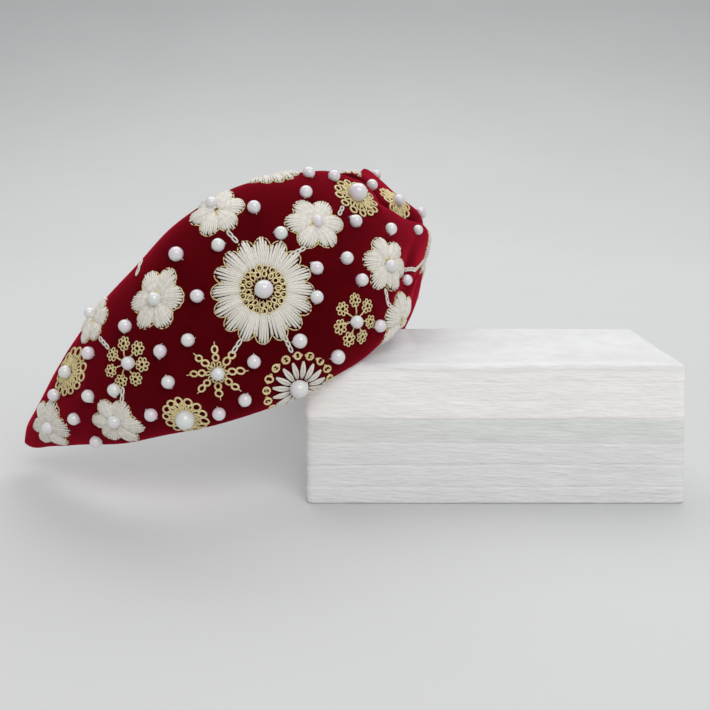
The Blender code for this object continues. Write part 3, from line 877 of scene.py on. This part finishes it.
def velvet_half(side, rows, footprints, fold_lines):
    """One padded half as closed rings, from a point at the tip to the crease. side is 1 for the near half
    and -1 for the far one. By the crease the velvet rolls down a quarter circle into it."""
    around = np.linspace(-90, 270, 2 * HALF_RING + 1)[:-1]
    across = np.sin(np.radians(around))
    end = between(CREASE_ROWS, 1, across) + side * CREASE_GAP / 2
    tip = side * (TIP_ANGLE - 0.12)
    steps = np.linspace(0, 1, rows)[:, None]
    steps = 0.62 * steps + 0.38 * (1 - (1 - steps) ** 1.7)
    angle = tip + (end[None] - tip) * steps
    around = np.broadcast_to(around, angle.shape)
    left = np.clip(np.abs(end[None] - angle) / ROLL_DEGREES, 0, 1)
    roll = ROLL_DEPTH * (1 - np.sqrt(1 - (1 - left) ** 2))
    lift = velvet_lift(angle, around, footprints, fold_lines)
    outer_share = ramp(np.cos(np.radians(around)), -0.1, 0.5)
    points = band_place(angle, around, lift - roll * outer_share)
    sides = angle.shape[1]
    quads, tris = ring_faces(rows, sides, False)
    tris = tris[:sides]
    last = (rows - 1) * sides
    k = np.arange(1, HALF_RING - 1)
    strip = np.stack([last + k, last + k + 1, last + sides - k - 1, last + sides - k], -1)
    corners = np.array([(last, last + 1, last + sides - 1),
                        (last + HALF_RING - 1, last + HALF_RING, last + HALF_RING + 1)])
    tip_point = band_place(np.array([side * TIP_ANGLE]), np.array([0.0]), np.array([-TIP_PAD / 2]))
    return {"points": np.vstack([points.reshape(-1, 3), tip_point]), "quads": np.vstack([quads, strip]),
            "tris": np.vstack([tris, corners])}


def foam_shape():
    """The block: rings of a rounded rectangle (a superellipse, read back at even steps), from the middle of
    the base out to its edge, round it, up the wall, round the upper edge and in to the middle of the top.
    The right side is stretched to its askew end. The wall is pushed in by a bell curve at each joint
    between two sheets, each sheet stands a little in or out, and sums of sines wave the cut faces."""
    turn = turns_of(RING_POINTS * 4)
    c, s = np.cos(turn), np.sin(turn)
    box = np.stack([np.sign(c) * np.abs(c) ** CORNER_POWER, np.sign(s) * np.abs(s) ** CORNER_POWER], -1)
    box = box * (BLOCK_LENGTH / 2, BLOCK_DEPTH / 2)
    closed = np.vstack([box, box[:1]])
    run = running(closed)
    even = np.arange(RING_POINTS) / RING_POINTS * run[-1]
    outline = np.stack([np.interp(even, run, closed[:, 0]), np.interp(even, run, closed[:, 1])], -1)
    bend = np.linspace(0, np.pi / 2, 7)[1:-1]
    cap = np.linspace(0.03, 1, 22)
    inwards, upwards = 1 - np.sin(bend), 1 - np.cos(bend)
    wall = np.linspace(BASE_EDGE, BLOCK_HEIGHT - TOP_EDGE, WALL_ROWS)
    inset = np.concatenate([0 * cap + BASE_EDGE, BASE_EDGE * inwards, 0 * wall, TOP_EDGE * inwards[::-1],
                            0 * cap + TOP_EDGE])
    height = np.concatenate([0 * cap, BASE_EDGE * upwards, wall, BLOCK_HEIGHT - TOP_EDGE * upwards[::-1],
                             0 * cap + BLOCK_HEIGHT])
    scale = np.concatenate([cap, np.ones(len(height) - 2 * len(cap)), cap[::-1]])
    x = outline[:, 0] * (1 - inset[:, None] * 2 / BLOCK_LENGTH) * scale[:, None]
    y = outline[:, 1] * (1 - inset[:, None] * 2 / BLOCK_DEPTH) * scale[:, None]
    z = np.broadcast_to(height[:, None], x.shape)
    up, back = z / BLOCK_HEIGHT, y / BLOCK_DEPTH + 0.5
    end = ((END_FRONT_LOW * (1 - up) + END_FRONT_HIGH * up) * (1 - back)
           + (END_BACK_LOW * (1 - up) + END_BACK_HIGH * up) * back)
    x = np.where(x > 0, x * end * 2 / BLOCK_LENGTH, x)
    tangent = np.roll(outline, -1, 0) - np.roll(outline, 1, 0)
    out = unit(np.stack([tangent[:, 1], -tangent[:, 0]], -1))
    on_wall = ramp(z, 0.1, 1.0) * ramp(BLOCK_HEIGHT - z, 0.3, 2.0)
    push = 0.05 * np.sin(x * 0.11 + z * 0.35) + 0.04 * np.sin(y * 0.23 + z * 0.9 + x * 0.05)
    for i, joint in enumerate(SHEET_JOINTS):
        at = joint + 0.22 * np.sin(x * 0.035 + y * 0.06 + i * 2.1) + 0.08 * np.sin(x * 0.19 + i)
        push = push - JOINT_DEPTH[i] * np.exp(-((z - at) / 0.36) ** 2)
        push = push + SHEET_STEP[i] * ramp(z, at - 0.3, at + 0.3)
    waves = np.sin(x * 0.09 + y * 0.05) + np.sin(y * 0.19 - x * 0.04 + 1.0)
    top = 0.10 * (waves - 2.0) * ramp(z, BLOCK_HEIGHT - 3, BLOCK_HEIGHT)
    points = np.stack([x + push * on_wall * out[:, 0], y + push * on_wall * out[:, 1], z + top], -1)
    quads, tris = ring_faces(len(height), RING_POINTS, False)
    ends = np.array([(0, 0, 0), (0, 0, points[-1, :, 2].mean())])
    return {"points": np.vstack([points.reshape(-1, 3), ends]), "quads": quads, "tris": tris}


def fill(tree, made, values):
    """Give a node's sockets their values: a socket is linked to, and anything else is set."""
    for key, value in values.items():
        if isinstance(value, bpy.types.NodeSocket):
            tree.links.new(value, made.inputs[key])
        else:
            made.inputs[key].default_value = value
    return made


def node(tree, kind, values=None, **settings):
    """A node of a kind, with its settings and the values of its sockets."""
    made = tree.nodes.new(kind)
    for key, value in settings.items():
        setattr(made, key, value)
    return fill(tree, made, values or {})


def maths(tree, operation, *values):
    """What a Math node makes of sockets and numbers."""
    return node(tree, "ShaderNodeMath", dict(enumerate(values)), operation=operation).outputs[0]


def material(name, **values):
    """A material whose Principled BSDF has these values on its own sockets."""
    made = bpy.data.materials.new(name)
    made.use_nodes = True
    shader = made.node_tree.nodes["Principled BSDF"]
    fill(made.node_tree, shader, {key.replace("_", " "): value for key, value in values.items()})
    return made, made.node_tree, shader


def new_group(name, inputs, outputs):
    """An empty shader node group: its inputs by name and value, a colour where that has four numbers, and
    its outputs by name and kind. The sockets inside that give the inputs come with it, and the end node."""
    tree = bpy.data.node_groups.new(name, "ShaderNodeTree")
    for label, value in inputs.items():
        kind = "NodeSocketColor" if np.ndim(value) else "NodeSocketFloat"
        tree.interface.new_socket(name=label, in_out="INPUT", socket_type=kind).default_value = value
    for label, kind in outputs.items():
        tree.interface.new_socket(name=label, in_out="OUTPUT", socket_type=kind)
    return tree, tree.nodes.new("NodeGroupInput").outputs, tree.nodes.new("NodeGroupOutput")


def blend(tree, factor, into):
    """The group's two colours mixed by a factor."""
    mix = node(tree, "ShaderNodeMix", {"Factor": factor, "A": into["Colour"], "B": into["Other Colour"]},
               data_type="RGBA")
    return mix.outputs["Result"]


def noise(tree, scale, detail, roughness=0.5):
    """Noise in Object coordinates."""
    place = node(tree, "ShaderNodeTexCoord").outputs["Object"]
    values = {"Vector": place, "Scale": scale, "Detail": detail, "Roughness": roughness}
    return node(tree, "ShaderNodeTexNoise", values).outputs["Fac"]


def patches_group():
    """Two colours blended by cloudy noise in Object coordinates, as nap, wear or dye lie on a surface."""
    tree, into, out = new_group(
        "cloudy_patches",
        {"Colour": (0.5, 0.5, 0.5, 1), "Other Colour": (0.3, 0.3, 0.3, 1), "Scale": 100.0, "Low": 0.35,
         "High": 0.65},
        {"Colour": "NodeSocketColor"})
    cloud = noise(tree, into["Scale"], 4.0, 0.6)
    spread = node(tree, "ShaderNodeMapRange", {"Value": cloud, "From Min": into["Low"],
                                               "From Max": into["High"]}, interpolation_type="SMOOTHSTEP")
    fill(tree, out, {"Colour": blend(tree, spread.outputs["Result"], into)})
    return tree


def twist_group():
    """The plies of a thread: sin(2 pi (length x turns + share round x plies)) on the thread's own map, and
    each thread's own shade between two colours, with painted shade that darkens the grooves between the
    plies."""
    tree, into, out = new_group(
        "twisted_thread",
        {"Colour": (0.8, 0.75, 0.6, 1), "Other Colour": (0.7, 0.6, 0.5, 1), "Turns": 0.6, "Plies": 3.0,
         "Painted Shade Between Plies": 0.7},
        {"Colour": "NodeSocketColor", "Height": "NodeSocketFloat"})
    way = node(tree, "ShaderNodeUVMap", uv_map="thread_way")
    split = node(tree, "ShaderNodeSeparateXYZ", {"Vector": way.outputs["UV"]})
    turns = maths(tree, "MULTIPLY", split.outputs["X"], into["Turns"])
    plies = maths(tree, "MULTIPLY", split.outputs["Y"], into["Plies"])
    wave = maths(tree, "SINE", maths(tree, "MULTIPLY", maths(tree, "ADD", turns, plies), 2 * np.pi))
    height = node(tree, "ShaderNodeMapRange", {"Value": wave, "From Min": -1.0, "From Max": 1.0})
    height = height.outputs["Result"]
    shade = node(tree, "ShaderNodeAttribute", attribute_name="shade")
    # Painted shade: the colour is scaled down where the ply wave is low, darkest in the grooves between the
    # plies
    dark = node(tree, "ShaderNodeMapRange", {"Value": height, "To Min": into["Painted Shade Between Plies"], "To Max": 1.0})
    shaded = node(tree, "ShaderNodeVectorMath", {0: blend(tree, shade.outputs["Fac"], into),
                                                 "Scale": dark.outputs["Result"]}, operation="SCALE")
    fill(tree, out, {"Colour": shaded.outputs["Vector"], "Height": height})
    return tree


PATCHES = patches_group()
TWIST = twist_group()


def patches(tree, colour, other, scale, low=0.35, high=0.65):
    """The colour of the shared patches between two colours."""
    values = {"Colour": (*colour, 1), "Other Colour": (*other, 1), "Scale": scale, "Low": low, "High": high}
    return node(tree, "ShaderNodeGroup", values, node_tree=PATCHES).outputs["Colour"]


def dress(tree, shader, colour, height, strength, distance):
    """Give a shader its colour, and a bump node between a height and its normal."""
    bump = node(tree, "ShaderNodeBump", {"Height": height, "Strength": strength, "Distance": distance})
    fill(tree, shader, {"Base Color": colour, "Normal": bump.outputs["Normal"]})


def velvet_finish():
    """Burgundy velvet: dark where it faces the eye, a red sheen at grazing angles, and patches of nap."""
    made, tree, shader = material(
        "burgundy_velvet", Roughness=0.95, Sheen_Weight=0.64, Sheen_Roughness=0.54,
        Sheen_Tint=(1.0, 0.03, 0.08, 1.0), Specular_IOR_Level=0.0)
    nap = patches(tree, (0.050, 0.0009, 0.0018), (0.074, 0.0013, 0.0027), 70.0, 0.30, 0.72)
    dress(tree, shader, nap, noise(tree, 2600.0, 3.0), 0.55, 0.00022)
    return made


def thread_finish(name, colour, other, turns, painted_ply_shade, **values):
    """Twisted thread, each thread its own shade between two colours, with painted shade between its plies."""
    made, tree, shader = material(name, **values)
    settings = {"Colour": (*colour, 1), "Other Colour": (*other, 1), "Turns": turns,
                "Painted Shade Between Plies": painted_ply_shade}
    twist = node(tree, "ShaderNodeGroup", settings, node_tree=TWIST).outputs
    dress(tree, shader, twist["Colour"], twist["Height"], 0.8, 0.00007)
    return made


def pearl_finish():
    """Imitation pearl: a glossy coat over nacre that drifts between lilac and green tints."""
    made, tree, shader = material(
        "sewn_pearl", Roughness=0.30, Coat_Weight=0.9, Coat_Roughness=0.10, Specular_IOR_Level=0.6)
    tint = patches(tree, (0.76, 0.69, 0.75), (0.74, 0.77, 0.73), 260.0, 0.38, 0.62)
    dress(tree, shader, tint, noise(tree, 420.0, 2.0), 0.12, 0.0003)
    return made


def foam_finish():
    """White laminated foam: flat cells and fine streaks along the sheets, and sheets of slightly different
    white by their height, with painted shade greying the top face."""
    made, tree, shader = material("white_foam", Roughness=0.55, Specular_IOR_Level=0.4)
    place = node(tree, "ShaderNodeTexCoord").outputs["Object"]
    split = node(tree, "ShaderNodeSeparateXYZ", {"Vector": place})
    level = maths(tree, "MULTIPLY", split.outputs["Z"], 1000.0 / BLOCK_HEIGHT)
    # Colour by height: the sheets' own whites, then painted shade that greys the top face
    sheets = node(tree, "ShaderNodeValToRGB", {"Fac": level})
    stops = sheets.color_ramp.elements
    while len(stops) < len(SHEET_TONES_AND_TOP_SHADE):
        stops.new(0.5)
    for stop, (height, tone) in zip(stops, SHEET_TONES_AND_TOP_SHADE):
        stop.position = height / BLOCK_HEIGHT
        stop.color = (*tone, 1)
    drawn_out = node(tree, "ShaderNodeMapping", {"Vector": place, "Scale": (0.35, 0.35, 2.0)})
    drawn_out = drawn_out.outputs["Vector"]
    cells = node(tree, "ShaderNodeTexVoronoi", {"Vector": drawn_out, "Scale": 700.0}, feature="F1")
    streaks = node(tree, "ShaderNodeTexNoise", {"Vector": drawn_out, "Scale": 330.0, "Detail": 4.0,
                                                "Roughness": 0.65}).outputs["Fac"]
    tone = node(tree, "ShaderNodeMapRange", {"Value": streaks, "From Min": 0.3, "From Max": 0.7,
                                             "To Min": 0.93, "To Max": 1.04})
    shaded = node(tree, "ShaderNodeVectorMath", {0: sheets.outputs["Color"], "Scale": tone.outputs["Result"]},
                  operation="SCALE")
    both = maths(tree, "ADD", cells.outputs["Distance"], streaks)
    dress(tree, shader, shaded.outputs["Vector"], both, 0.45, 0.0004)
    return made


def backdrop():
    """A pale floor that turns up into a wall behind: a straight run, a quarter circle and a rise."""
    bend = np.linspace(0, np.pi / 2, 24)
    y = np.concatenate([[FLOOR_FRONT], TURN_UP + COVE * np.sin(bend), [TURN_UP + COVE]])
    z = np.concatenate([[0.0], COVE * (1 - np.cos(bend)), [WALL_TOP]])
    x = np.array([-HALF_FLOOR, HALF_FLOOR])
    points = np.stack(np.broadcast_arrays(x[None], y[:, None], z[:, None]), -1).reshape(-1, 3)
    r = np.arange(len(y) - 1)
    quads = np.stack([2 * r, 2 * r + 1, 2 * r + 3, 2 * r + 2], -1)
    mesh = bpy.data.meshes.new("pale_floor")
    mesh.from_pydata(points.tolist(), [], quads.tolist())
    mesh.shade_smooth()
    made, tree, shader = material("pale_floor", Roughness=0.8, Specular_IOR_Level=0.2)
    fill(tree, shader, {"Base Color": patches(tree, (0.622, 0.622, 0.620), (0.638, 0.638, 0.636), 3.0)})
    mesh.materials.append(made)
    floor = in_scene("pale_floor", mesh)


def softbox(name, place, target, width, height, power):
    """A rectangular light at a place, facing a target."""
    light = bpy.data.lights.new(name, "AREA")
    light.shape = "RECTANGLE"
    light.size = width
    light.size_y = height
    light.energy = power
    made = in_scene(name, light)
    made.location = place
    made.rotation_mode = "QUATERNION"
    made.rotation_quaternion = (Vector(target) - Vector(place)).to_track_quat("-Z", "Y")


def camera_and_light():
    """The photograph's view, a wide soft light overhead and a little behind, and a soft front fill."""
    data = bpy.data.cameras.new("camera")
    data.sensor_width = SENSOR
    data.lens = FOCAL_PIXELS / FRAME_WIDTH * SENSOR
    camera = in_scene("camera", data)
    camera.location = EYE * MM
    camera.rotation_euler = (np.pi / 2 - EYE_PITCH, 0.0, 0.0)
    bpy.context.scene.camera = camera
    for light in LIGHTS:
        softbox(*light)
    world = bpy.data.worlds.new("studio")
    world.use_nodes = True
    fill(world.node_tree, world.node_tree.nodes["Background"], {"Color": SKY, "Strength": SKY_STRENGTH})
    bpy.context.scene.world = world
    bpy.context.scene.view_settings.view_transform = "Standard"


def sewn_spots():
    """Every embroidered piece as name, maker, radius, stretch, spot and the turn of its first petal. The
    radius is the mean of its two, the stretch is each of them over that, and the tip's spot, read in flat
    millimetres from the centre, gives the turn."""
    found = []
    for name, maker, wide, tall, column, row, tip_column, tip_row in EMBROIDERY:
        spot = seen_at(column, row)
        tip = seen_at(tip_column, tip_row)
        radius = np.sqrt(wide * tall) / 2
        stretch = np.array([wide / 2, tall / 2, radius]) / radius
        x, y = flat_from(spot, tip[0], tip[1]) / stretch[:2]
        spot = np.array(away_from(spot, *PAST_EDGE.get(name, (0.0, 0.0))))
        found.append((name, maker, radius, stretch, spot, np.arctan2(y, x)))
    return found


def mirrored(spot):
    """The same place on the other half."""
    return np.array([-spot[0], spot[1]])


def has_twin(spot, radius, hidden):
    """True where a near spot's twin on the far half keeps its circle clear of the crease, and faces away
    from the eye by more than hidden."""
    twin = mirrored(spot)
    crease = between(CREASE_ROWS, 1, np.sin(np.radians(twin[1])))
    return twin[0] + radius / MM_PER_DEGREE < crease - CREASE_ROOM and facing(twin) < hidden


def side_of(name):
    """1 for a piece of the near half and -1 for one of the far half."""
    return -1 if name.startswith("far_") else 1


def main():
    """Make every piece, then the floor, the lights and the camera."""
    rng = np.random.default_rng(SEED)
    velvet = velvet_finish()
    # The fifth number of each thread finish is how dark its painted shade between the plies gets
    ivory = thread_finish("ivory_floss", (0.90, 0.86, 0.78), (0.80, 0.75, 0.66), 0.55, 0.80,
                          Roughness=0.55, Sheen_Weight=0.3, Sheen_Roughness=0.4)
    gold = thread_finish("pale_gold_thread", (1.0, 0.86, 0.47), (0.88, 0.71, 0.34), 1.4, 0.66,
                         Roughness=0.30, Metallic=0.15)
    nacre = pearl_finish()
    make_piece("laminated_foam", foam_shape(), foam_finish(), ("foam_block",))

    solid_names = set(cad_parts)
    near = sewn_spots()
    far = [("far_" + name, maker, radius, stretch, mirrored(spot), start + FAR_TURN)
           for name, maker, radius, stretch, spot, start in near if has_twin(spot, radius, PIECE_HIDDEN)]
    by_name = {piece[0]: piece[4] for piece in near + far}
    seen_centres = [(owner, seen_at(column, row, size / 2 + CENTRE_SEAT), size)
                    for owner, size, column, row in CENTRE_PEARLS + EXTRA_CENTRES]
    centres = seen_centres[:len(CENTRE_PEARLS)]
    extra = seen_centres[len(CENTRE_PEARLS):]
    extra += [(owner, np.array(away_from(by_name[owner], TUFT_AWAY / 2, 0.0)), size)
              for owner, size in HIDDEN_CENTRES]
    far_centres = [("far_" + owner, mirrored(spot), size) for owner, spot, size in centres + extra
                   if "far_" + owner in by_name]
    pearl_spots = {owner: spot for owner, spot, size in centres + extra + far_centres}

    footprints = {1: [], -1: []}
    for name, maker, radius, stretch, spot, start in near + far:
        ivory_part, gold_part = MAKERS[maker](radius, start, rng)
        if maker == "flower":
            x, y = -TUFT_AWAY * unit(np.array(flat_from(spot, *pearl_spots.get(name, spot))))
            gold_part = gathered([gold_part, tuft(x, y, rng)])
        nodes = (name,) if name in solid_names else ()
        if ivory_part is not None:
            ivory_part["points"] = lay(spot, ivory_part["points"] * stretch)
            make_piece(name + "_petals", ivory_part, ivory, nodes)
            nodes = ()
        gold_part["points"] = lay(spot, gold_part["points"] * stretch)
        make_piece(name + "_gold", gold_part, gold, nodes)
        depth, reach = PRESS.get(maker, LIGHT_PRESS)
        footprints[side_of(name)].append((spot, radius * reach, depth))

    on_velvet, at_edge = ([(seen_at(column, row, size / 2 + PEARL_SEAT), size) for column, row, size in table]
                          for table in (VELVET_PEARLS, EDGE_PEARLS))
    far_velvet = [(mirrored(spot), size) for spot, size in on_velvet + at_edge
                  if has_twin(spot, size, PEARL_HIDDEN)]
    numbers = [f"pearl_{i:02d}" for i in range(1, 1 + len(on_velvet) + len(centres))]
    sets = (
        ("velvet_pearls", on_velvet, PEARL_SEAT, numbers[:len(on_velvet)]),
        ("centre_pearls", [c[1:] for c in centres], CENTRE_SEAT, numbers[len(on_velvet):]),
        ("edge_pearls", at_edge, PEARL_SEAT, ()),
        ("extra_centre_pearls", [c[1:] for c in extra], CENTRE_SEAT, ()),
        ("far_velvet_pearls", far_velvet, PEARL_SEAT, ()),
        ("far_centre_pearls", [c[1:] for c in far_centres], CENTRE_SEAT, ()),
    )
    for name, placed, seat, nodes in sets:
        shape, ties = beads(*zip(*placed), seat, rng)
        make_piece(name, shape, nacre, tuple(nodes))
        make_piece(name + "_ties", ties, ivory)
        if seat == PEARL_SEAT:
            depth, reach = PEARL_PRESS
            footprints[side_of(name)] += [(spot, size * reach, depth) for spot, size in placed]
    links = [chain((seen_at(c0, r0), seen_at(c1, r1)), rng) for c0, r0, c1, r1 in CHAINS]
    make_piece("chain_stitch", gathered(links), ivory)

    fold_lines = []
    for depth, width, corners in FOLDS:
        stops = np.array([seen_at(column, row) for column, row in corners])
        t = np.linspace(0, len(stops) - 1, FOLD_POINTS)
        angle, around = (np.interp(t, np.arange(len(stops)), values) for values in stops.T)
        fold_lines.append((depth, width, band_place(angle, around)))
    near_velvet = make_piece("near_velvet", velvet_half(1, ROWS_ALONG, footprints[1], fold_lines), velvet,
                             ("near_half",))
    far_velvet_half = make_piece("far_velvet", velvet_half(-1, FAR_ROWS_ALONG, footprints[-1], []), velvet,
                                 ("far_half",))

    backdrop()
    camera_and_light()


main()
